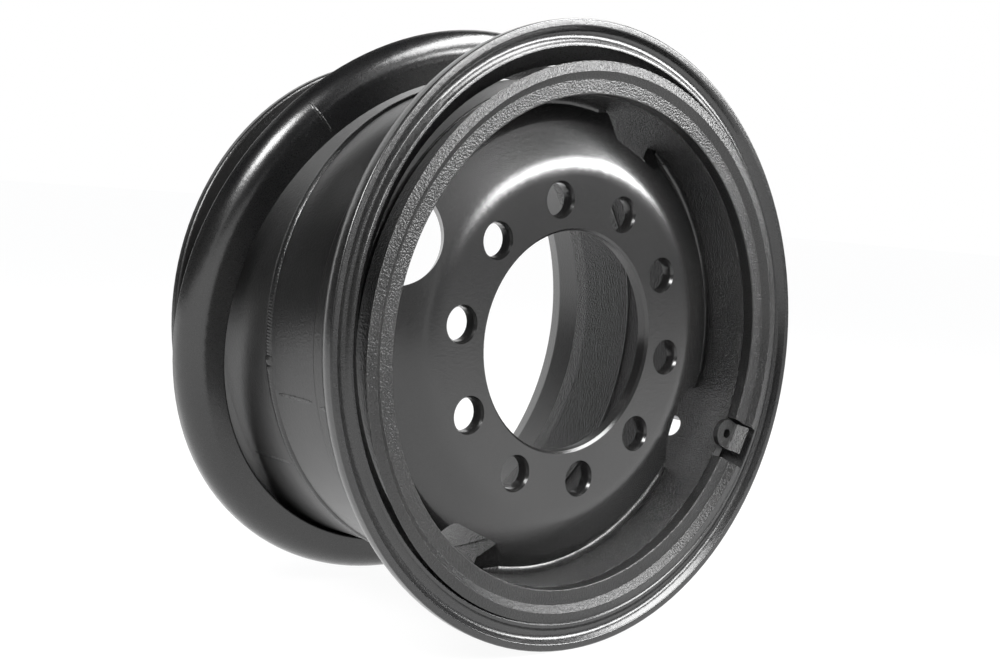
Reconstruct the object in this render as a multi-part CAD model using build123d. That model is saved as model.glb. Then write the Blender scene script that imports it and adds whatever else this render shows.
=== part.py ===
"""Multi-piece truck wheel: welded rim and disc with two loose side rings, a split lock ring and a lug.

Millimetres. The wheel spins about Y. The origin is the centre of the hub face, the flat inboard face
of the disc that seats on the hub. The outboard side faces -Y, and +Z is up. The wheel stands on its two
loose side rings: the front one sits on the lock ring, and the rear one has leaned forward on the rim.
Angles round the wheel are seen from the front, from +X towards +Z.
"""
from build123d import *
from math import cos, hypot, radians, sin, tan
import os

# Hub fixing
stud_circle_d = 285.75
stud_count = 10
stud_hole_d = 32.5
stud_seat_d = 37.5
stud_seat_depth = 5.0
hub_bore_d = 222.0
bore_chamfer = 2.5
valve_angle = -24.8

# Pressed disc, with its shape given along the outboard surface
disc_thickness = 13.0
hub_flat_r = 176.0
crown_angle = 21.36
brow_width = 22.0
edge_drop = 21.4
flange_length = 8.0
crown_bend = 60.0
edge_bend = 16.0

# Hand holes in the edge of the disc: two round ones in line with the valve, two straight ones between them
round_hole_r = 49.0
round_hole_depth = 54.5
window_depth = 32.5
window_width = 78.0
window_corner = 10.0
punch_lean = 30.0
punch_reach = 45.0

# Rim base, from its front edge to its back edge
barrel_r = 252.6
rim_wall = 9.6
rim_front = -31.0
front_break = 1.5
gutter_lip_height = 13.0
gutter_lip_width = 10.0
gutter_floor = 7.0
gutter_width = 18.0
shoulder_height = 6.4
shoulder_width = 62.0
shoulder_slope = 6.0
seam_y = 144.0
seat_length = 50.0
seat_taper = 5.0
back_lip_y = 279.0
back_lip_height = 25.2
back_lip_width = 11.0
back_lip_fillet = 8.0
flare_start_y = 213.0
flare_end_y = 268.0
flare_height = 7.0
flare_mouth_height = 16.0

# Corner roundings that the turned sections share
sharp = 0.0
edge_break = 1.0
face_round = 1.5
lip_round = 2.0
shoulder_bend = 3.0
channel_bend = 8.0
back_lip_round = 3.5
seat_bend = 20.0
flare_end_bend = 12.0
flare_start_bend = 30.0

# Circumferential seam weld between the two rim sections
seam_root = 2.0
seam_mouth = 10.0
seam_crown = 1.6
seam_root_crown = 0.8

# Valve slot through the rim
valve_slot_width = 24.0
valve_slot_length = 50.0
valve_slot_y = 28.0

# Weld between the disc and the rim
disc_weld_leg = 8.0
disc_weld_inset = 4.0

# Lock ring
lock_fit = 0.2
lock_side_gap = 0.3
lock_inner_lap = 1.0
lock_body_height = 5.0
lock_cone_height = 15.0
lock_face_width = 15.0
lock_face_lead = 13.0
lock_step_width = 10.0
lock_step_lead = 19.0
lock_nose_lead = 17.0
lock_nose_width = 2.0
lock_back_gap = 2.0
lock_back_bevel = 6.0
lock_gap = 45.0

# Side rings
ring_play = 6.0
ring_height = 43.0
ring_width = 30.0
flange_curve = 24.0
lip_thickness = 7.0
channel_drop = 16.0
channel_depth = 11.0
foot_width = 7.5
foot_rise = 17.0
foot_edge_width = 3.0
foot_reach = 27.0
ring_seat_gap = 0.2
front_cone_gap = 1.5
front_ring_tilt = -2.2
rear_lip_gap = 2.0
rear_ring_tilt = 14.2
rear_ring_turn = -2.2

# Lug in the gap of the lock ring, set to the upper end of the gap
lug_width = 30.0
lug_thickness = 6.0
lug_eye_lap = 2.0
lug_hole_d = 10.0
lug_bend_lap = 14.0
lug_tip_lap = 24.0
lug_tip_rise = 15.0
lug_bend = 4.0
lug_shift = 5.0

# Derived places shared by the pieces
disc_front = -disc_thickness
stud_r = stud_circle_d / 2
rim_bore_r = barrel_r - rim_wall
brow_r = rim_bore_r - brow_width
crown_rise = tan(radians(crown_angle))
brow_y = disc_front + (brow_r - hub_flat_r) * crown_rise
disc_edge_y = brow_y + edge_drop
gutter_lip_r = rim_bore_r + gutter_lip_height
gutter_r = rim_bore_r + gutter_floor
shoulder_r = barrel_r + shoulder_height
gutter_lip_end = rim_front + gutter_lip_width
gutter_end = gutter_lip_end + gutter_width
shoulder_end = gutter_end + shoulder_width
seat_start_y = back_lip_y - seat_length
seat_end_r = barrel_r + seat_length * tan(radians(seat_taper))
back_lip_r = barrel_r + back_lip_height
back_end = back_lip_y + back_lip_width
lock_body_r = gutter_lip_r + lock_body_height
lock_outer_r = lock_body_r + lock_cone_height
ring_foot_r = lock_body_r + ring_play
ring_outer_r = ring_foot_r + ring_height
foot_edge_r = ring_foot_r + foot_rise
cone_slope = (foot_reach - foot_width) / foot_rise
lock_nose_y = rim_front - lock_nose_lead
lock_cone_y = lock_nose_y + lock_cone_height * cone_slope
round_hole_angles = [valve_angle, valve_angle + 180]
window_angles = [valve_angle + 90, valve_angle + 270]
stud_angles = [valve_angle + 360 / stud_count * (i + 0.5) for i in range(stud_count)]


def around(angle, piece):
    """Turns a piece made at +X round the wheel."""
    return Rot(0, -angle, 0) * piece


def turned(points, radii):
    """Revolves a closed outline of (radius, y) points about the wheel's axis, with rounded corners."""
    outline = FilletPolyline(*points, radius=radii, close=True)
    return revolve(make_face(outline), Axis.Y)


def offset_line(points, distance):
    """Moves a chain of (radius, y) points sideways, so that each leg keeps its direction."""
    normals = []
    for (r0, y0), (r1, y1) in zip(points, points[1:]):
        length = hypot(r1 - r0, y1 - y0)
        normals.append(((y0 - y1) / length, (r1 - r0) / length))
    pairs = zip([normals[0]] + normals, normals + [normals[-1]])
    moved = []
    for (r, y), (a, b) in zip(points, pairs):
        share = distance / (1 + a[0] * b[0] + a[1] * b[1])
        moved.append((r + share * (a[0] + b[0]), y + share * (a[1] + b[1])))
    return moved


def pressed_disc():
    """Formed plate with a flat hub face, a sloping crown, a steep edge and a flange that lies in the rim."""
    outboard = [(hub_bore_d / 2, disc_front), (hub_flat_r, disc_front), (brow_r, brow_y),
                (rim_bore_r, disc_edge_y), (rim_bore_r, disc_edge_y + flange_length)]
    inboard = offset_line(outboard, disc_thickness)
    bends = [crown_bend, edge_bend, edge_bend]
    front = FilletPolyline(*outboard, radius=bends)
    back = FilletPolyline(*inboard, radius=[bend - disc_thickness for bend in bends])
    ends = Line(outboard[0], inboard[0]) + Line(outboard[-1], inboard[-1])
    return revolve(make_face(front + back + ends), Axis.Y)


def stud_hole(angle):
    """Through hole with the spherical nut seat taken as a cone at its outboard mouth.

    The cone runs on past the flat at the same slope, as the cutting tool does.
    """
    hole = Cylinder(stud_hole_d / 2, 2 * stud_hole_d)
    tool_d = 2 * stud_seat_d - stud_hole_d
    seat = Pos(0, 0, disc_thickness) * Cone(stud_hole_d / 2, tool_d / 2, 2 * stud_seat_depth)
    return around(angle, Pos(stud_r, 0, 0) * Rot(90, 0, 0) * (hole + seat))


def punched(depth, shape, angle):
    """Cutter that leans through the crown of the disc.

    The shape lies with its inner end at its origin, where the cut meets the outboard surface.
    """
    r = rim_bore_r - depth
    y = disc_front + (r - hub_flat_r) * crown_rise
    rise = tan(radians(punch_lean))
    place = Plane(origin=(r, y, 0), x_dir=(1, rise, 0), z_dir=(rise, -1, 0))
    return around(angle, place * extrude(shape, punch_reach, both=True))


def hand_holes(margin=0.0):
    """Cutters for the hand holes, all open to the edge of the disc, grown by a margin."""
    round_end = Pos(round_hole_r, 0) * Circle(round_hole_r + margin)
    length = 2 * window_depth + margin
    window = Pos(length / 2 - margin, 0) * RectangleRounded(length, window_width + 2 * margin, window_corner)
    rounds = [punched(round_hole_depth, round_end, angle) for angle in round_hole_angles]
    return rounds + [punched(window_depth, window, angle) for angle in window_angles]


def bore_edge():
    """Chamfer cutter at the outboard mouth of the hub bore."""
    cone = Cone(hub_bore_d / 2, hub_bore_d / 2 + bore_chamfer, bore_chamfer)
    return Pos(0, disc_front + bore_chamfer / 2, 0) * Rot(90, 0, 0) * cone


def wheel_disc():
    """Pressed disc with the stud holes, the bore and the hand holes."""
    disc = pressed_disc() - bore_edge()
    disc -= [stud_hole(angle) for angle in stud_angles]
    return disc - hand_holes()


def gutter_section():
    """Front section of the rim: gutter lip, lock ring gutter, shoulder and barrel."""
    root_end, mouth_end = seam_y - seam_root / 2, seam_y - seam_mouth / 2
    points = [(rim_bore_r, rim_front), (gutter_lip_r, rim_front), (gutter_lip_r, gutter_lip_end),
              (gutter_r, gutter_lip_end), (gutter_r, gutter_end), (shoulder_r, gutter_end),
              (shoulder_r, shoulder_end), (barrel_r, shoulder_end + shoulder_slope),
              (barrel_r, mouth_end), (rim_bore_r, root_end)]
    rim = turned(points, [front_break, lip_round, edge_break, sharp, sharp, lip_round,
                          shoulder_bend, shoulder_bend, sharp, sharp])
    return rim - valve_slot()


def valve_slot():
    """Cutter for the slot with round ends that the valve stem comes through."""
    shape = SlotOverall(valve_slot_length, valve_slot_width, rotation=90)
    middle = valve_slot_y + valve_slot_length / 2
    start_r, depth = rim_bore_r - valve_slot_width, shoulder_r - rim_bore_r + 2 * valve_slot_width
    return around(valve_angle, Pos(start_r, middle, 0) * Rot(0, 90, 0) * extrude(shape, depth))


def back_section():
    """Rear section of the rim: barrel, tapered bead seat and the fixed back lip with its flared mouth."""
    root_start, mouth_start = seam_y + seam_root / 2, seam_y + seam_mouth / 2
    points = [(rim_bore_r, root_start), (barrel_r, mouth_start), (barrel_r, seat_start_y),
              (seat_end_r, back_lip_y), (back_lip_r, back_lip_y), (back_lip_r, back_end),
              (rim_bore_r + flare_mouth_height, back_end), (rim_bore_r + flare_height, flare_end_y),
              (rim_bore_r, flare_start_y)]
    return turned(points, [sharp, sharp, seat_bend, back_lip_fillet, back_lip_round, back_lip_round,
                          lip_round, flare_end_bend, flare_start_bend])


def seam_weld():
    """Bead that fills the bevels between the two rim sections, with a low crown inside and outside."""
    root, mouth = seam_root / 2, seam_mouth / 2
    cap = ThreePointArc((barrel_r, seam_y - mouth), (barrel_r + seam_crown, seam_y),
                        (barrel_r, seam_y + mouth))
    under = ThreePointArc((rim_bore_r, seam_y - root), (rim_bore_r - seam_root_crown, seam_y),
                          (rim_bore_r, seam_y + root))
    sides = Line(cap @ 0, under @ 0) + Line(cap @ 1, under @ 1)
    return revolve(make_face(cap + under + sides), Axis.Y)


def disc_welds(disc):
    """Fillet weld in the valley between the disc and the rim, in runs between the hand holes."""
    slope = edge_drop / brow_width
    toe = (rim_bore_r - disc_weld_leg, disc_edge_y - disc_weld_leg * slope)
    points = [(rim_bore_r, disc_edge_y - disc_weld_leg), (rim_bore_r, disc_edge_y + flange_length), toe]
    bead = revolve(make_face(Polyline(*points, close=True)), Axis.Y) - disc
    return bead - hand_holes(disc_weld_inset)


def lock_ring():
    """Split ring that sits in the gutter, covers the gutter lip and holds the side ring on its cone."""
    toe_r, cover_r = gutter_r + lock_fit, gutter_lip_r + lock_side_gap
    inner_r, step_r = rim_bore_r + lock_inner_lap, lock_outer_r - lock_step_width
    tongue_front, back = gutter_lip_end + lock_side_gap, gutter_end - lock_back_gap
    flange_back, face_y = rim_front - lock_side_gap, rim_front - lock_face_lead
    inside = [(toe_r, back), (toe_r, tongue_front), (cover_r, tongue_front), (cover_r, flange_back)]
    face = [(inner_r, flange_back), (inner_r, face_y), (inner_r + lock_face_width, face_y),
            (step_r, rim_front - lock_step_lead), (lock_outer_r - lock_nose_width, lock_nose_y),
            (lock_outer_r, lock_nose_y)]
    outside = [(lock_body_r, lock_cone_y), (lock_body_r, back - lock_back_bevel),
               (lock_body_r - lock_back_bevel, back)]
    points = inside + face + outside
    rounded = {face[1]: face_round, face[2]: face_round, face[3]: edge_break}
    ring = turned(points, [rounded.get(point, sharp) for point in points])
    gap = Box(2 * (lock_outer_r - inner_r), 2 * (back - lock_nose_y), lock_gap)
    return ring - around(valve_angle, Pos((inner_r + lock_outer_r) / 2, (back + lock_nose_y) / 2, 0) * gap)


def side_ring(outward):
    """Side ring about its own lip plane, with the lip towards -Y or +Y."""
    section = [(ring_foot_r, 0), (ring_outer_r, 0), (ring_outer_r, ring_width),
               (ring_outer_r - lip_thickness, ring_width),
               (ring_outer_r - channel_drop, ring_width - channel_depth),
               (foot_edge_r + foot_edge_width, foot_reach), (foot_edge_r, foot_reach), (ring_foot_r, foot_width)]
    points = [(r, outward * (u - flange_curve)) for r, u in section]
    return turned(points, [lip_round, flange_curve, lip_round, lip_round, channel_bend, edge_break,
                           edge_break, edge_break])


def lowest_point(outward, tilt, r, u):
    """Place along Y, and depth below the ring's centre, of a section point at the foot of a leaning ring."""
    lean = radians(tilt)
    along = outward * (u - flange_curve)
    return along * cos(lean) + r * sin(lean), r * cos(lean) - along * sin(lean)


def resting_height(outward, tilt, ring_y, support):
    """Height of a leaning ring whose foot lies on the rim below it.

    The support gives the radius of what is under the foot at a place along Y.
    """
    heights = []
    for u in (0, foot_width):
        y, depth = lowest_point(outward, tilt, ring_foot_r, u)
        heights.append(depth - support(ring_y + y) - ring_seat_gap)
    return min(heights)


def bead_seat_r(y):
    """Outer radius of the rear bead seat at a place along Y."""
    return barrel_r + max(y - seat_start_y, 0) * tan(radians(seat_taper))


def front_side_ring():
    """Loose ring that stands on the lock ring, so that its gap is at the top."""
    cone_reach = lowest_point(-1, front_ring_tilt, ring_foot_r, foot_width)[0]
    ring_y = lock_cone_y + front_cone_gap - cone_reach
    height = resting_height(-1, front_ring_tilt, ring_y, lambda y: lock_body_r)
    return Pos(0, ring_y, height) * Rot(front_ring_tilt, 0, 0) * side_ring(-1)


def rear_side_ring():
    """Loose ring that leans forward from the back lip, with its foot on the rear bead seat."""
    lip_reach = lowest_point(1, rear_ring_tilt, foot_edge_r, foot_reach)[0]
    ring_y = back_lip_y - rear_lip_gap - lip_reach
    height = resting_height(1, rear_ring_tilt, ring_y, bead_seat_r)
    return Pos(0, ring_y, height) * Rot(0, 0, rear_ring_turn) * Rot(rear_ring_tilt, 0, 0) * side_ring(1)


def lug():
    """Bent strip on the front edge of the rim, with a round eye and a foot that rises in the ring gap."""
    eye_r, plate = rim_bore_r + lug_eye_lap, lug_thickness
    tip_r = rim_bore_r + lug_tip_lap
    spine = [(eye_r - lug_width / 2, rim_front), (rim_bore_r + lug_bend_lap, rim_front),
             (tip_r, rim_front - lug_tip_rise)]
    outer = offset_line(spine, -plate)
    under = FilletPolyline(*spine, radius=lug_bend + plate)
    top = FilletPolyline(*outer, radius=lug_bend)
    ends = Line(spine[0], outer[0]) + Line(spine[-1], outer[-1])
    strip = extrude(make_face(under + top + ends), lug_width / 2, both=True)
    depth = tip_r - eye_r + lug_width
    eye = Circle(lug_width / 2) + Pos(depth / 2, 0) * Rectangle(depth, lug_width) - Circle(lug_hole_d / 2)
    outline = Pos(eye_r, rim_front, 0) * Rot(90, 0, 0) * extrude(eye, lug_tip_rise + 2 * plate)
    return around(valve_angle, Pos(0, 0, lug_shift) * (strip & outline))


def main():
    """Builds every piece and writes its file."""
    os.makedirs("parts", exist_ok=True)
    disc = wheel_disc()
    pieces = {
        "wheel_disc": disc,
        "rim_gutter_section": gutter_section(),
        "rim_back_section": back_section(),
        "rim_seam_weld": seam_weld(),
        "disc_welds": disc_welds(disc),
        "lock_ring": lock_ring(),
        "front_side_ring": front_side_ring(),
        "rear_side_ring": rear_side_ring(),
        "lock_ring_lug": lug(),
    }
    for name, piece in pieces.items():
        export_step(piece, f"parts/{name}.step")


main()
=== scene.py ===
"""Black-painted multi-piece truck wheel: rim sections, disc, side rings, lock ring, lug and their welds.

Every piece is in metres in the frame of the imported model. The wheel's axis is Y, its outboard side faces -Y,
and angles round the wheel are seen from the outboard side, from +X towards +Z.
"""

import logging
import random
from dataclasses import dataclass, field
from enum import Enum
from math import cos, radians, sin, tau
from typing import Callable, Sequence

import bmesh
import bpy
from mathutils import Matrix, Vector
from mathutils.bvhtree import BVHTree


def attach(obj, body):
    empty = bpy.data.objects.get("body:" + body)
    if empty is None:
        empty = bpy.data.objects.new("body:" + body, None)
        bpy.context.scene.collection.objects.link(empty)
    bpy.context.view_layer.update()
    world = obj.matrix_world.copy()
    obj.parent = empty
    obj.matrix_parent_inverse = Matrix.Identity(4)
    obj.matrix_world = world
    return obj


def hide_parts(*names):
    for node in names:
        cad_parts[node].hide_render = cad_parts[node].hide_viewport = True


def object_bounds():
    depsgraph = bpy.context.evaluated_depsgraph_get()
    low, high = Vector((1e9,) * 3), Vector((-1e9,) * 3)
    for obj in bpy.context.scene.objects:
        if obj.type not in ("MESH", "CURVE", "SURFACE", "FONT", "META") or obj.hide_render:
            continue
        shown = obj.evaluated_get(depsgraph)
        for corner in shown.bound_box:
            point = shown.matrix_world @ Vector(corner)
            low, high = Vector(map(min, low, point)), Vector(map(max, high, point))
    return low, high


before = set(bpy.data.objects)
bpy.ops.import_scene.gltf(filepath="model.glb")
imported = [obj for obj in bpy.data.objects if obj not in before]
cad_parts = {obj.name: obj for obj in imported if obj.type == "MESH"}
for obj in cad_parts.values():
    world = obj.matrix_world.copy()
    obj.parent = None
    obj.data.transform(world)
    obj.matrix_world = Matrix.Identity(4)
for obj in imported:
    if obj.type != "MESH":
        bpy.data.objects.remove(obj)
CAD_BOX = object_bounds()

LOG = logging.getLogger("wheel")
MM = 0.001
BODY = "root"

# Places on the wheel that the welds share with the solids, in metres
BORE_R = 243.0 * MM
BARREL_R = 252.6 * MM
SHOULDER_R = 259.0 * MM
SEAM_Y = 144.0 * MM
DISC_EDGE_Y = 26.0 * MM

# Angle round the wheel of the valve slot and of the round hand hole beside it, in degrees
VALVE_ANGLE = -24.8

# Turn between two faces that leaves a hard edge, in degrees
SOLID_CREASE = 28.0
BEAD_CREASE = 50.0
STRIP_CREASE = 60.0

Colour = tuple[float, float, float]
Span = tuple[float, float]
SurfaceLine = Callable[[float], tuple[Vector, Vector]]


class Slot(Enum):
    """Names of the material slots."""

    SMOOTH = "black_paint"
    ROUGH = "rough_black_paint"


@dataclass(frozen=True)
class Paint:
    """Sprayed black paint over steel.

    Attributes:
        name: name of the material.
        slot: material slot that the finish belongs to; not used.
        dark: paint colour where it is clean.
        pale: paint colour where it is dusty or thin.
        roughness: lowest and highest roughness over the surface.
        peel_scale: cells per metre of the orange peel.
        peel_depth: height of the orange peel in metres.
        grain_scale: cells per metre of the scale that shows through.
        grain_depth: height of that scale in metres.
        coat: weight of the clear gloss on top.
        coat_roughness: roughness of that gloss.
        cloud_scale: cells per metre of the dusty clouds.
        cloud_span: noise levels where the colour is all clean and all dusty.
        grain_span: noise levels where the roughness is lowest and highest.
    """

    name: str
    slot: Slot
    dark: Colour
    pale: Colour
    roughness: Span
    peel_scale: float
    peel_depth: float
    grain_scale: float
    grain_depth: float
    coat: float
    coat_roughness: float = 0.21
    cloud_scale: float = 9.0
    cloud_span: Span = (0.38, 0.72)
    grain_span: Span = (0.3, 0.7)

    def material(self) -> bpy.types.Material:
        """Builds the paint once and gives it back on later calls.

        Returns:
            The Blender material.
        """
        known = bpy.data.materials.get(self.name)
        if known is not None:
            return known
        made = bpy.data.materials.new(self.name)
        made.use_nodes = True
        tree = made.node_tree
        shader = tree.nodes["Principled BSDF"]
        shader.inputs["Coat Weight"].default_value = self.coat
        shader.inputs["Coat Roughness"].default_value = self.coat_roughness
        grain = self._noise(tree, self.grain_scale, detail=3.0)
        self._add_colour(tree, shader)
        self._add_roughness(tree, shader, grain)
        self._add_relief(tree, shader, grain)
        return made

    def _add_colour(self, tree: bpy.types.NodeTree, shader: bpy.types.Node) -> None:
        """Clouds the paint between its clean and its dusty colour.

        Args:
            tree: node tree of the material.
            shader: its shader node.
        """
        cloud = self._noise(tree, self.cloud_scale, detail=5.0)
        tone = tree.nodes.new("ShaderNodeValToRGB")
        for stop, level, colour in zip(tone.color_ramp.elements, self.cloud_span, (self.dark, self.pale)):
            stop.position = level
            stop.color = (*colour, 1.0)
        tree.links.new(cloud.outputs["Fac"], tone.inputs["Fac"])
        tree.links.new(tone.outputs["Color"], shader.inputs["Base Color"])

    def _add_roughness(self, tree: bpy.types.NodeTree, shader: bpy.types.Node,
                       grain: bpy.types.Node) -> None:
        """Varies the roughness with the grain.

        Args:
            tree: node tree of the material.
            shader: its shader node.
            grain: noise node of the grain.
        """
        rough = tree.nodes.new("ShaderNodeMapRange")
        rough.inputs["From Min"].default_value, rough.inputs["From Max"].default_value = self.grain_span
        rough.inputs["To Min"].default_value, rough.inputs["To Max"].default_value = self.roughness
        tree.links.new(grain.outputs["Fac"], rough.inputs["Value"])
        tree.links.new(rough.outputs["Result"], shader.inputs["Roughness"])

    def _add_relief(self, tree: bpy.types.NodeTree, shader: bpy.types.Node,
                    grain: bpy.types.Node) -> None:
        """Raises the orange peel and the grain on it, under the gloss too.

        Args:
            tree: node tree of the material.
            shader: its shader node.
            grain: noise node of the grain.
        """
        peel = self._noise(tree, self.peel_scale, detail=1.0)
        low = self._bump(tree, peel, self.peel_depth)
        high = self._bump(tree, grain, self.grain_depth)
        tree.links.new(low.outputs["Normal"], high.inputs["Normal"])
        for socket in ("Normal", "Coat Normal"):
            tree.links.new(high.outputs["Normal"], shader.inputs[socket])

    @staticmethod
    def _noise(tree: bpy.types.NodeTree, scale: float, detail: float) -> bpy.types.Node:
        """Adds a noise texture in object space.

        Args:
            tree: node tree of the material.
            scale: cells per metre.
            detail: octaves of the noise.

        Returns:
            The noise node.
        """
        place = tree.nodes.new("ShaderNodeTexCoord")
        noise = tree.nodes.new("ShaderNodeTexNoise")
        noise.inputs["Scale"].default_value = scale
        noise.inputs["Detail"].default_value = detail
        tree.links.new(place.outputs["Object"], noise.inputs["Vector"])
        return noise

    @staticmethod
    def _bump(tree: bpy.types.NodeTree, height: bpy.types.Node, depth: float) -> bpy.types.Node:
        """Adds a bump.

        Args:
            tree: node tree of the material.
            height: texture node that gives the height.
            depth: full height in metres.

        Returns:
            The bump node.
        """
        bump = tree.nodes.new("ShaderNodeBump")
        bump.inputs["Distance"].default_value = depth
        tree.links.new(height.outputs["Fac"], bump.inputs["Height"])
        return bump


DISC_PAINT = Paint(
    "disc paint", Slot.SMOOTH, dark=(0.007, 0.007, 0.007), pale=(0.011, 0.0107, 0.0104),
    roughness=(0.20, 0.28), peel_scale=320.0, peel_depth=0.05 * MM, grain_scale=1400.0, grain_depth=0.03 * MM,
    coat=0.70)
RING_PAINT = Paint(
    "ring paint", Slot.SMOOTH, dark=(0.004, 0.004, 0.0043), pale=(0.009, 0.0088, 0.0085),
    roughness=(0.24, 0.34), peel_scale=260.0, peel_depth=0.08 * MM, grain_scale=1100.0, grain_depth=0.06 * MM,
    coat=0.70)
RIM_PAINT = Paint(
    "rim paint over scale", Slot.ROUGH, dark=(0.005, 0.005, 0.005), pale=(0.012, 0.0117, 0.0114),
    roughness=(0.26, 0.38), peel_scale=420.0, peel_depth=0.22 * MM, grain_scale=1500.0, grain_depth=0.10 * MM,
    coat=0.50)
BORE_PAINT = Paint(
    "rough paint in the bore", Slot.ROUGH, dark=(0.006, 0.006, 0.006), pale=(0.014, 0.0136, 0.0132),
    roughness=(0.16, 0.28), peel_scale=560.0, peel_depth=5.0 * MM, grain_scale=1300.0, grain_depth=0.6 * MM,
    coat=0.60)
LOCK_PAINT = Paint(
    "lock ring paint", Slot.ROUGH, dark=(0.004, 0.004, 0.004), pale=(0.010, 0.0097, 0.0094),
    roughness=(0.24, 0.38), peel_scale=520.0, peel_depth=0.70 * MM, grain_scale=1600.0, grain_depth=0.18 * MM,
    coat=0.35)
WELD_PAINT = Paint(
    "painted weld", Slot.ROUGH, dark=(0.005, 0.005, 0.005), pale=(0.013, 0.0126, 0.0122),
    roughness=(0.20, 0.32), peel_scale=700.0, peel_depth=0.18 * MM, grain_scale=1800.0, grain_depth=0.08 * MM,
    coat=0.60)


def add_piece(name: str, mesh: bpy.types.Mesh, paint: Paint,
              replaced: Sequence[str] = ()) -> bpy.types.Object:
    """Puts a mesh in the scene as a piece of the wheel.

    Args:
        name: plain name of the piece.
        mesh: its mesh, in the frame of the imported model.
        paint: its finish.
        replaced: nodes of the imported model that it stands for.

    Returns:
        The new object.
    """
    piece = bpy.data.objects.new(name, mesh)
    bpy.context.scene.collection.objects.link(piece)
    mesh.materials.clear()
    mesh.materials.append(paint.material())
    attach(piece, BODY)
    if replaced:
        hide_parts(*replaced)
    LOG.info("%s: %d faces", name, len(mesh.polygons))
    return piece


def smooth(mesh: bpy.types.Mesh, crease: float) -> None:
    """Shades a mesh smooth, with a hard edge where its faces turn by more than an angle.

    Args:
        mesh: mesh to shade.
        crease: angle in degrees.
    """
    form = bmesh.new()
    form.from_mesh(mesh)
    form.normal_update()
    for face in form.faces:
        face.smooth = True
    for edge in form.edges:
        edge.smooth = edge.is_manifold and edge.calc_face_angle() < radians(crease)
    form.to_mesh(mesh)
    form.free()


@dataclass
class SolidPiece:
    """A piece that keeps the form of its node.

    Attributes:
        node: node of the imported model.
        paint: finish.
        inside: finish of the faces that lie inside a radius, or None for one finish all over.
        inside_r: that radius.
        weld_gap: distance within which the mesh's points are joined.
    """

    node: str
    paint: Paint
    inside: Paint | None = None
    inside_r: float = BORE_R + 2.0 * MM
    weld_gap: float = 0.002 * MM

    def build(self) -> bpy.types.Object:
        """Copies the node's mesh, joins its points and shades it.

        Returns:
            The dressed piece.
        """
        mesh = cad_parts[self.node].data.copy()
        form = bmesh.new()
        form.from_mesh(mesh)
        bmesh.ops.remove_doubles(form, verts=form.verts, dist=self.weld_gap)
        form.to_mesh(mesh)
        form.free()
        packed = mesh.attributes.get("custom_normal")
        if packed is not None:
            mesh.attributes.remove(packed)
        smooth(mesh, SOLID_CREASE)
        piece = add_piece(self.node + "_painted", mesh, self.paint, [self.node])
        if self.inside is not None:
            self._paint_inside(mesh)
        self._even_normals(piece)
        return piece

    def _paint_inside(self, mesh: bpy.types.Mesh) -> None:
        """Gives the faces inside the radius the second finish.

        Args:
            mesh: mesh of the piece.
        """
        mesh.materials.append(self.inside.material())
        for face in mesh.polygons:
            if Vector((face.center.x, face.center.z)).length < self.inside_r:
                face.material_index = 1

    @staticmethod
    def _even_normals(piece: bpy.types.Object) -> None:
        """Lets the large faces of a piece set the normals, so that flats stay flat beside small roundings.

        Args:
            piece: object to dress.
        """
        weights = piece.modifiers.new("even normals", "WEIGHTED_NORMAL")
        weights.keep_sharp = True
        weights.weight = 100


def at_angle(r: float, y: float, angle: float) -> Vector:
    """Gives a point of the wheel.

    Args:
        r: distance from the wheel's axis.
        y: place along the axis.
        angle: angle round the wheel in radians.

    Returns:
        The point.
    """
    return Vector((r * cos(angle), y, r * sin(angle)))


def across_bead(count: int) -> list[float]:
    """Gives evenly spaced places across a bead.

    Args:
        count: number of places.

    Returns:
        The places, from -1 at one toe to 1 at the other.
    """
    return [2.0 * i / (count - 1) - 1.0 for i in range(count)]


def loft(name: str, loops: Sequence[Sequence[Vector]], closed: bool) -> bpy.types.Mesh:
    """Skins a row of closed loops that all have the same number of points.

    Args:
        name: name of the mesh.
        loops: the loops in order.
        closed: whether the last loop joins the first one; open rows get a face at each end.

    Returns:
        The mesh, with its faces turned outwards.
    """
    count = len(loops[0])
    points = [tuple(point) for loop in loops for point in loop]
    faces = []
    for i in range(len(loops) if closed else len(loops) - 1):
        here, there = i * count, (i + 1) % len(loops) * count
        for j in range(count):
            k = (j + 1) % count
            faces.append((here + j, here + k, there + k, there + j))
    if not closed:
        faces.append(tuple(range(count)))
        faces.append(tuple(range((len(loops) - 1) * count, len(loops) * count)))
    mesh = bpy.data.meshes.new(name)
    mesh.from_pydata(points, [], faces)
    form = bmesh.new()
    form.from_mesh(mesh)
    bmesh.ops.recalc_face_normals(form, faces=form.faces)
    form.to_mesh(mesh)
    form.free()
    return mesh


@dataclass(frozen=True)
class Lump:
    """Spatter on a bead.

    Attributes:
        place: its middle, along the bead.
        reach: half its length.
        rise: its height.
    """

    place: float
    reach: float
    rise: float

    def height(self, along: float) -> float:
        """Gives the lump's height at a distance along the bead."""
        return self.rise * max(0.0, 1.0 - ((along - self.place) / self.reach) ** 2)


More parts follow.
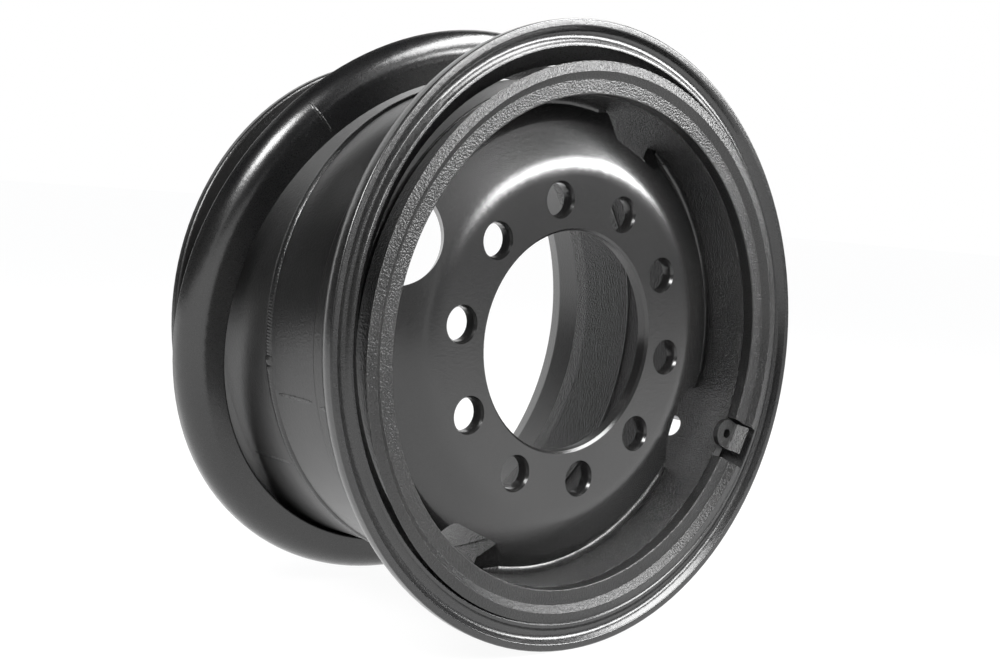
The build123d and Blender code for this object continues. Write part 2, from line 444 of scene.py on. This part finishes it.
@dataclass
class Ripple:
    """Surface of a hand-laid bead: freeze ripples, a slow wander and lumps.

    Attributes:
        pitch: length of one ripple along the bead.
        depth: height of a ripple.
        bow: how far the ripples trail at the edges, in ripples.
        crest: power that broadens the ripples' crests.
        wander: height of the slow change along the bead.
        wander_lengths: lengths of the waves that make up the slow change.
        seed: seed of the slow change.
        lumps: spatter on the bead.
    """

    pitch: float = 3.2 * MM
    depth: float = 0.6 * MM
    bow: float = 0.8
    crest: float = 0.6
    wander: float = 0.30 * MM
    wander_lengths: Sequence[float] = (31.0 * MM, 83.0 * MM, 210.0 * MM)
    seed: int = 4
    lumps: Sequence[Lump] = ()

    def height(self, along: float, across: float) -> float:
        """Gives the height that is added to the bead's plain crown.

        Args:
            along: distance along the bead.
            across: place across the bead, from -1 at one toe to 1 at the other.

        Returns:
            The height, which is nothing at the toes.
        """
        phase = along / self.pitch - self.bow * across * across
        ripple = self.depth * (0.5 + 0.5 * cos(tau * phase)) ** self.crest
        drift = random.Random(self.seed)
        waves = [sin(tau * (along / length + drift.random())) for length in self.wander_lengths]
        slow = self.wander * sum(waves) / len(waves)
        spatter = sum(lump.height(along) for lump in self.lumps)
        return (1.0 - across * across) * (ripple + slow + spatter)


@dataclass
class SeamWeld:
    """Bead round the rim between its two sections, seen on the barrel and as a root line in the bore.

    Attributes:
        mouth: half width of the cap.
        crown: height of the cap's plain crown.
        root: half width of the root.
        sag: height of the root's crown.
        bite: how far the toes sink into the rim.
        steps: loops round the wheel.
        cap_points: points across the cap.
        root_points: points across the root.
        ripple: surface of the cap.
    """

    mouth: float = 5.2 * MM
    crown: float = 1.7 * MM
    root: float = 1.6 * MM
    sag: float = 0.7 * MM
    bite: float = 0.05 * MM
    steps: int = 1984
    cap_points: int = 9
    root_points: int = 3
    ripple: Ripple = field(default_factory=lambda: Ripple(lumps=(
        Lump(radians(188.0) * BARREL_R, 4.0 * MM, 1.6 * MM),
        Lump(radians(190.0) * BARREL_R, 3.0 * MM, 1.2 * MM))))

    def build(self) -> bpy.types.Object:
        """Lays the bead.

        Returns:
            The bead.
        """
        loops = [self._loop(tau * i / self.steps) for i in range(self.steps)]
        mesh = loft("seam bead", loops, closed=True)
        smooth(mesh, BEAD_CREASE)
        return add_piece("rim_seam_bead", mesh, WELD_PAINT, ["rim_seam_weld"])

    def _loop(self, angle: float) -> list[Vector]:
        """Gives the bead's section at an angle.

        Args:
            angle: angle round the wheel in radians.

        Returns:
            The loop of points.
        """
        loop = []
        for across in across_bead(self.cap_points):
            rise = self.crown * (1.0 - across * across) + self.ripple.height(angle * BARREL_R, across)
            loop.append(at_angle(BARREL_R + rise - self.bite, SEAM_Y + self.mouth * across, angle))
        for across in reversed(across_bead(self.root_points)):
            sag = self.sag * (1.0 - across * across)
            loop.append(at_angle(BORE_R + self.bite - sag, SEAM_Y + self.root * across, angle))
        return loop


@dataclass
class DiscWelds:
    """Fillet beads in the valley between the disc and the rim, one run between each two hand holes.

    Attributes:
        leg: length of the bead's legs on the rim and on the disc.
        slope: rise of the disc's edge along the axis for each unit of radius.
        root_y: depth of the bead's root below the disc's edge.
        rim_bite: how far the bead sinks into the rim.
        disc_bite: how far its toe sinks into the disc.
        outward: direction of its crown, as radius and place along the axis.
        crown: height of the plain crown.
        round_half: half angle of a round hand hole in degrees.
        window_half: half angle of a straight hand hole in degrees.
        taper: length over which a run starts and stops.
        end_size: size of the section at the ends of a run, where 1 is the full bead.
        step: distance between loops.
        face_points: points across the face.
        ripple: surface of the face.
    """

    leg: float = 8.0 * MM
    slope: float = 0.973
    root_y: float = 5.0 * MM
    rim_bite: float = 0.1 * MM
    disc_bite: float = 0.3 * MM
    outward: Span = (-0.38, -0.92)
    crown: float = 0.7 * MM
    round_half: float = 11.6
    window_half: float = 10.4
    taper: float = 16.0 * MM
    end_size: float = 0.35
    step: float = 0.8 * MM
    face_points: int = 7
    ripple: Ripple = field(default_factory=lambda: Ripple(
        pitch=3.6 * MM, depth=0.6 * MM, bow=0.7, wander=0.35 * MM, seed=9))

    def build(self) -> list[bpy.types.Object]:
        """Lays the four runs, the first of which stands for the node.

        Returns:
            The runs.
        """
        halves = [self.round_half, self.window_half]
        runs = []
        for i in range(4):
            start = VALVE_ANGLE + 90.0 * i + halves[i % 2]
            end = VALVE_ANGLE + 90.0 * (i + 1) - halves[(i + 1) % 2]
            mesh = self._run(radians(start), radians(end))
            replaced = ["disc_welds"] if i == 0 else []
            runs.append(add_piece(f"disc_weld_run_{i + 1}", mesh, WELD_PAINT, replaced))
        return runs

    def _run(self, start: float, end: float) -> bpy.types.Mesh:
        """Lays one run.

        Args:
            start: angle where it starts, in radians.
            end: angle where it stops.

        Returns:
            The mesh of the run.
        """
        length = (end - start) * BORE_R
        count = int(length / self.step)
        loops = []
        for i in range(count + 1):
            along = length * i / count
            grown = min(along, length - along) / self.taper
            swell = min(1.0, self.end_size + (1.0 - self.end_size) * grown)
            loops.append(self._loop(start + along / BORE_R, along, swell))
        mesh = loft("disc bead", loops, closed=False)
        smooth(mesh, BEAD_CREASE)
        return mesh

    def _loop(self, angle: float, along: float, swell: float) -> list[Vector]:
        """Gives the section of a run.

        Args:
            angle: angle round the wheel in radians.
            along: distance from the start of the run.
            swell: size of the section, 1 in the middle of the run.

        Returns:
            The loop of points.
        """
        leg = self.leg * swell
        rim_r = BORE_R + self.rim_bite
        rim_toe = Vector((rim_r, DISC_EDGE_Y - leg))
        disc_toe = Vector((BORE_R - leg, DISC_EDGE_Y + self.disc_bite - leg * self.slope))
        loop = []
        for across in across_bead(self.face_points):
            rise = self.crown * (1.0 - across * across) + self.ripple.height(along, across)
            place = rim_toe.lerp(disc_toe, 0.5 + 0.5 * across) + Vector(self.outward) * (rise * swell)
            loop.append(at_angle(place.x, place.y, angle))
        loop.append(at_angle(rim_r, DISC_EDGE_Y + self.root_y, angle))
        return loop


@dataclass
class ButtWeld:
    """Dressed weld where a rolled section is closed, as a low strip along a line on its surface.

    Attributes:
        name: plain name of the strip.
        line: function that gives the surface point and its outward direction at a share of the length.
        side: direction across the strip.
        half_width: half the strip's width.
        rise: height of its crown.
        sink: depth of its edges in the surface.
        end_size: size at its ends, where 1 is the full strip.
        growth: how much its size grows from an end over the whole length.
        width_play: least and greatest share of the width.
        rise_play: least and greatest share of the height.
        steps: loops along it.
        seed: seed of its uneven edges.
    """

    name: str
    line: SurfaceLine
    side: Vector
    half_width: float = 3.0 * MM
    rise: float = 0.45 * MM
    sink: float = 0.4 * MM
    end_size: float = 0.3
    growth: float = 5.0
    width_play: Span = (0.75, 1.1)
    rise_play: Span = (0.6, 1.1)
    steps: int = 60
    seed: int = 1

    def build(self) -> bpy.types.Object:
        """Lays the strip.

        Returns:
            The strip.
        """
        uneven = random.Random(self.seed)
        loops = []
        for i in range(self.steps + 1):
            place, out = self.line(i / self.steps)
            size = min(1.0, self.end_size + self.growth * min(i, self.steps - i) / self.steps)
            left = self.side * (self.half_width * size * uneven.uniform(*self.width_play))
            right = self.side * (self.half_width * size * uneven.uniform(*self.width_play))
            top = out * (self.rise * size * uneven.uniform(*self.rise_play))
            low = out * self.sink
            loops.append([place - left - low, place - left / 2.0 + top, place + right / 2.0 + top,
                          place + right - low])
        mesh = loft(self.name, loops, closed=False)
        smooth(mesh, STRIP_CREASE)
        return add_piece(self.name, mesh, WELD_PAINT)


@dataclass
class BarrelWeld:
    """Butt weld along the outside of a rim section.

    Attributes:
        name: plain name of the weld.
        angle: angle round the wheel in degrees.
        r: radius of the surface.
        start: first place along the wheel's axis.
        end: last place.
    """

    name: str
    angle: float
    r: float
    start: float
    end: float

    def build(self) -> bpy.types.Object:
        """Lays the weld.

        Returns:
            The weld.
        """
        side = at_angle(1.0, 0.0, radians(self.angle + 90.0))
        return ButtWeld(self.name, self._point, side).build()

    def _point(self, share: float) -> tuple[Vector, Vector]:
        """Gives the surface point and its outward direction at a share of the length."""
        turn = radians(self.angle)
        place = at_angle(self.r, self.start + (self.end - self.start) * share, turn)
        return place, at_angle(1.0, 0.0, turn)


BARREL_WELDS = (
    BarrelWeld("front_section_butt_weld", -164.5, BARREL_R, 76.0 * MM, 133.0 * MM),
    BarrelWeld("shoulder_butt_weld", -164.5, SHOULDER_R, 4.0 * MM, 54.0 * MM),
    BarrelWeld("back_section_butt_weld", -145.9, BARREL_R, 154.0 * MM, 222.0 * MM))


@dataclass
class RearRingWeld:
    """Butt weld across the face of the rear side ring, from its foot to its lip.

    Attributes:
        node: node of the ring.
        tilt: lean of the ring in degrees.
        turn: turn of the ring about the upright, in degrees.
        angle: place round the ring in degrees.
        reach: inner and outer radius of the weld on the ring.
        stand_off: distance in front of the ring's middle from which its face is sought.
        half_width: half the weld's width.
        seed: seed of its uneven edges.
    """

    node: str = "rear_side_ring"
    tilt: float = 14.2
    turn: float = -2.2
    angle: float = 135.6
    reach: Span = (272.0 * MM, 306.0 * MM)
    stand_off: float = 200.0 * MM
    half_width: float = 2.6 * MM
    seed: int = 3

    def build(self) -> bpy.types.Object:
        """Finds the line on the ring's surface and lays the weld on it.

        Returns:
            The weld.
        """
        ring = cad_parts[self.node]
        points = [ring.matrix_world @ vertex.co for vertex in ring.data.vertices]
        tree = BVHTree.FromPolygons(points, [tuple(face.vertices) for face in ring.data.polygons])
        pose = Matrix.Rotation(radians(self.turn), 3, "Z") @ Matrix.Rotation(radians(self.tilt), 3, "X")
        axis = pose @ Vector((0.0, 1.0, 0.0))
        spoke = pose @ at_angle(1.0, 0.0, radians(self.angle))
        low, high = (Vector(limit(point[i] for point in points) for i in range(3)) for limit in (min, max))
        start = (low + high) / 2.0 - axis * self.stand_off

        def line(share: float) -> tuple[Vector, Vector]:
            """Gives the surface point and its outward direction at a share of the length."""
            r = self.reach[0] + (self.reach[1] - self.reach[0]) * share
            hit, out, _, _ = tree.ray_cast(start + spoke * r, axis)
            return hit, out

        weld = ButtWeld("rear_ring_butt_weld", line, axis.cross(spoke), self.half_width, seed=self.seed)
        return weld.build()


def stage_sheet(name: str, corners: Sequence[Vector]) -> tuple[bpy.types.Object, bpy.types.Material]:
    """Adds a flat sheet to the studio, with a plain material of its own.

    Args:
        name: name of the sheet and its material.
        corners: its corners in order.

    Returns:
        The sheet and its material.
    """
    mesh = bpy.data.meshes.new(name)
    mesh.from_pydata([tuple(corner) for corner in corners], [], [tuple(range(len(corners)))])
    sheet = bpy.data.objects.new(name, mesh)
    bpy.context.scene.collection.objects.link(sheet)
    made = bpy.data.materials.new(name)
    made.use_nodes = True
    mesh.materials.append(made)
    return sheet, made


@dataclass
class Softbox:
    """A lamp with a flat rectangular front.

    Attributes:
        name: name of the lamp.
        place: where it hangs.
        aim: point that it shines at.
        size: width and height.
        power: power in watts.
    """

    name: str
    place: Vector
    aim: Vector
    size: Span
    power: float

    def build(self) -> None:
        """Hangs the lamp."""
        light = bpy.data.lights.new(self.name, "AREA")
        light.shape = "RECTANGLE"
        light.size, light.size_y = self.size
        light.energy = self.power
        lamp = bpy.data.objects.new(self.name, light)
        lamp.location = self.place
        lamp.rotation_euler = (self.aim - self.place).to_track_quat("-Z", "Y").to_euler()
        bpy.context.scene.collection.objects.link(lamp)


@dataclass
class Card:
    """A card round or above the wheel, which only the wheel's gloss shows.

    Attributes:
        name: name of the card.
        place: middle of the card, which faces the wheel.
        size: width and height.
        grey: its shade.
    """

    name: str
    place: Vector
    size: Span
    grey: float = 0.012

    def build(self) -> None:
        """Stands the card upright, or hangs it flat where it is straight above the wheel."""
        half, tall = self.size[0] / 2.0, self.size[1] / 2.0
        corners = [Vector((x, 0.0, z)) for x, z in ((-half, -tall), (half, -tall), (half, tall), (-half, tall))]
        card, made = stage_sheet(self.name, corners)
        level = Vector((self.place.x, self.place.y, 0.0))
        facing = level if level.length > 0.0 else self.place
        card.location = self.place
        card.rotation_euler = facing.to_track_quat("Y", "Z").to_euler()
        card.visible_camera = card.visible_diffuse = card.visible_shadow = card.visible_transmission = False
        shader = made.node_tree.nodes["Principled BSDF"]
        shader.inputs["Base Color"].default_value = (self.grey, self.grey, self.grey, 1.0)
        shader.inputs["Roughness"].default_value = 1.0


SOFTBOXES = (
    Softbox("overhead softbox", Vector((0.8, -0.65, 2.0)), Vector((0.0, 0.0, 0.1)), (2.2, 0.9), 95.0),
    Softbox("left softbox", Vector((-1.9, -0.7, 1.45)), Vector((-0.1, 0.1, 0.0)), (0.9, 0.9), 60.0),
    Softbox("right softbox", Vector((1.7, -1.8, 1.05)), Vector((0.0, 0.0, 0.1)), (2.2, 0.6), 90.0))

CARDS = (
    Card("left card", Vector((-2.6, 1.2, 0.9)), (6.0, 3.6)),
    Card("front card", Vector((-1.9, -3.0, 0.9)), (3.6, 3.6)),
    Card("right card", Vector((3.4, 0.4, 0.9)), (3.2, 3.6)),
    Card("front right card", Vector((2.3, -2.7, 0.6)), (5.0, 1.9), grey=0.2),
    Card("ceiling card", Vector((0.0, 0.0, 3.0)), (7.0, 7.0)))


@dataclass
class Studio:
    """Floor, light and camera.

    Attributes:
        camera_place: where the camera stands.
        look: direction that it looks in.
        upright: direction that is up in its picture.
        lens: focal length in millimetres.
        sensor: width of the camera's frame in millimetres.
        far: distance past which the camera sees nothing.
        floor_reach: half the floor's side.
        floor_grey: shade of the floor.
        floor_roughness: its roughness.
        shade: share of the floor's own shading that the camera sees.
        floor_glow: strength of the rest, which lifts the clear floor to the white of the backdrop.
        fill_colour: colour of the soft light from all round.
        fill: strength of that light.
    """

    camera_place: Vector = field(default_factory=lambda: Vector((-1.0696, -1.1131, 0.1377)))
    look: Vector = field(default_factory=lambda: Vector((0.6610, 0.7453, -0.0876)))
    upright: Vector = field(default_factory=lambda: Vector((0.0, 0.1167, 0.9932)))
    lens: float = 55.55
    sensor: float = 36.0
    far: float = 200.0
    floor_reach: float = 30.0
    floor_grey: float = 0.9
    floor_roughness: float = 0.9
    shade: float = 0.12
    floor_glow: float = 1.06
    fill_colour: Colour = (0.93, 0.96, 1.0)
    fill: float = 0.45

    def build(self) -> None:
        """Makes the floor, the world, the lamps, the cards and the camera."""
        self._add_floor()
        self._add_world()
        for fitting in SOFTBOXES + CARDS:
            fitting.build()
        self._add_camera()

    def _add_floor(self) -> None:
        """Lays a pale floor under the wheel."""
        reach, height = self.floor_reach, CAD_BOX[0][2]
        signs = ((-1, -1), (1, -1), (1, 1), (-1, 1))
        _, made = stage_sheet("floor", [Vector((x * reach, y * reach, height)) for x, y in signs])
        nodes, links = made.node_tree.nodes, made.node_tree.links
        shader = nodes["Principled BSDF"]
        shader.inputs["Base Color"].default_value = (self.floor_grey, self.floor_grey, self.floor_grey, 1.0)
        shader.inputs["Roughness"].default_value = self.floor_roughness
        glow = nodes.new("ShaderNodeEmission")
        glow.inputs["Strength"].default_value = self.floor_glow
        seen = nodes.new("ShaderNodeMath")
        seen.operation = "MULTIPLY"
        seen.inputs[1].default_value = 1.0 - self.shade
        mix = nodes.new("ShaderNodeMixShader")
        links.new(self._seen_rays(made.node_tree), seen.inputs[0])
        links.new(seen.outputs["Value"], mix.inputs["Fac"])
        links.new(shader.outputs["BSDF"], mix.inputs[1])
        links.new(glow.outputs["Emission"], mix.inputs[2])
        links.new(mix.outputs["Shader"], nodes["Material Output"].inputs["Surface"])

    def _add_world(self) -> None:
        """Makes a white backdrop for what is seen, and a soft light for the rest."""
        world = bpy.data.worlds.new("studio")
        bpy.context.scene.world = world
        world.use_nodes = True
        nodes, links = world.node_tree.nodes, world.node_tree.links
        soft = nodes["Background"]
        soft.inputs["Color"].default_value = (*self.fill_colour, 1.0)
        soft.inputs["Strength"].default_value = self.fill
        white = nodes.new("ShaderNodeBackground")
        white.inputs["Color"].default_value = (1.0, 1.0, 1.0, 1.0)
        mix = nodes.new("ShaderNodeMixShader")
        links.new(self._seen_rays(world.node_tree), mix.inputs["Fac"])
        links.new(soft.outputs["Background"], mix.inputs[1])
        links.new(white.outputs["Background"], mix.inputs[2])
        links.new(mix.outputs["Shader"], nodes["World Output"].inputs["Surface"])

    @staticmethod
    def _seen_rays(tree: bpy.types.NodeTree) -> bpy.types.NodeSocket:
        """Adds a mask of the rays that see the background: straight, mirrored and through glass.

        Args:
            tree: node tree of the material or world.

        Returns:
            The mask's socket.
        """
        path = tree.nodes.new("ShaderNodeLightPath")
        mask = path.outputs["Is Camera Ray"]
        for ray in ("Is Glossy Ray", "Is Transmission Ray"):
            either = tree.nodes.new("ShaderNodeMath")
            either.operation = "MAXIMUM"
            tree.links.new(mask, either.inputs[0])
            tree.links.new(path.outputs[ray], either.inputs[1])
            mask = either.outputs["Value"]
        return mask

    def _add_camera(self) -> None:
        """Sets the camera up as the photograph was taken."""
        lens = bpy.data.cameras.new("camera")
        lens.sensor_width = self.sensor
        lens.lens = self.lens
        lens.clip_end = self.far
        camera = bpy.data.objects.new("camera", lens)
        back = -self.look.normalized()
        right = self.upright.cross(back).normalized()
        up = back.cross(right)
        turn = Matrix((right, up, back)).transposed().to_4x4()
        camera.matrix_world = Matrix.Translation(self.camera_place) @ turn
        bpy.context.scene.collection.objects.link(camera)
        bpy.context.scene.camera = camera


def main() -> None:
    """Builds the wheel and the studio in order."""
    logging.basicConfig(level=logging.INFO)
    bpy.context.scene.view_settings.view_transform = "Standard"
    SolidPiece("wheel_disc", DISC_PAINT).build()
    SolidPiece("rim_gutter_section", RIM_PAINT, BORE_PAINT).build()
    SolidPiece("rim_back_section", RIM_PAINT, BORE_PAINT).build()
    SeamWeld().build()
    DiscWelds().build()
    for weld in BARREL_WELDS:
        weld.build()
    SolidPiece("lock_ring", LOCK_PAINT).build()
    SolidPiece("front_side_ring", RING_PAINT).build()
    SolidPiece("rear_side_ring", RING_PAINT).build()
    RearRingWeld().build()
    SolidPiece("lock_ring_lug", LOCK_PAINT).build()
    Studio().build()


if __name__ == "__main__":
    main()
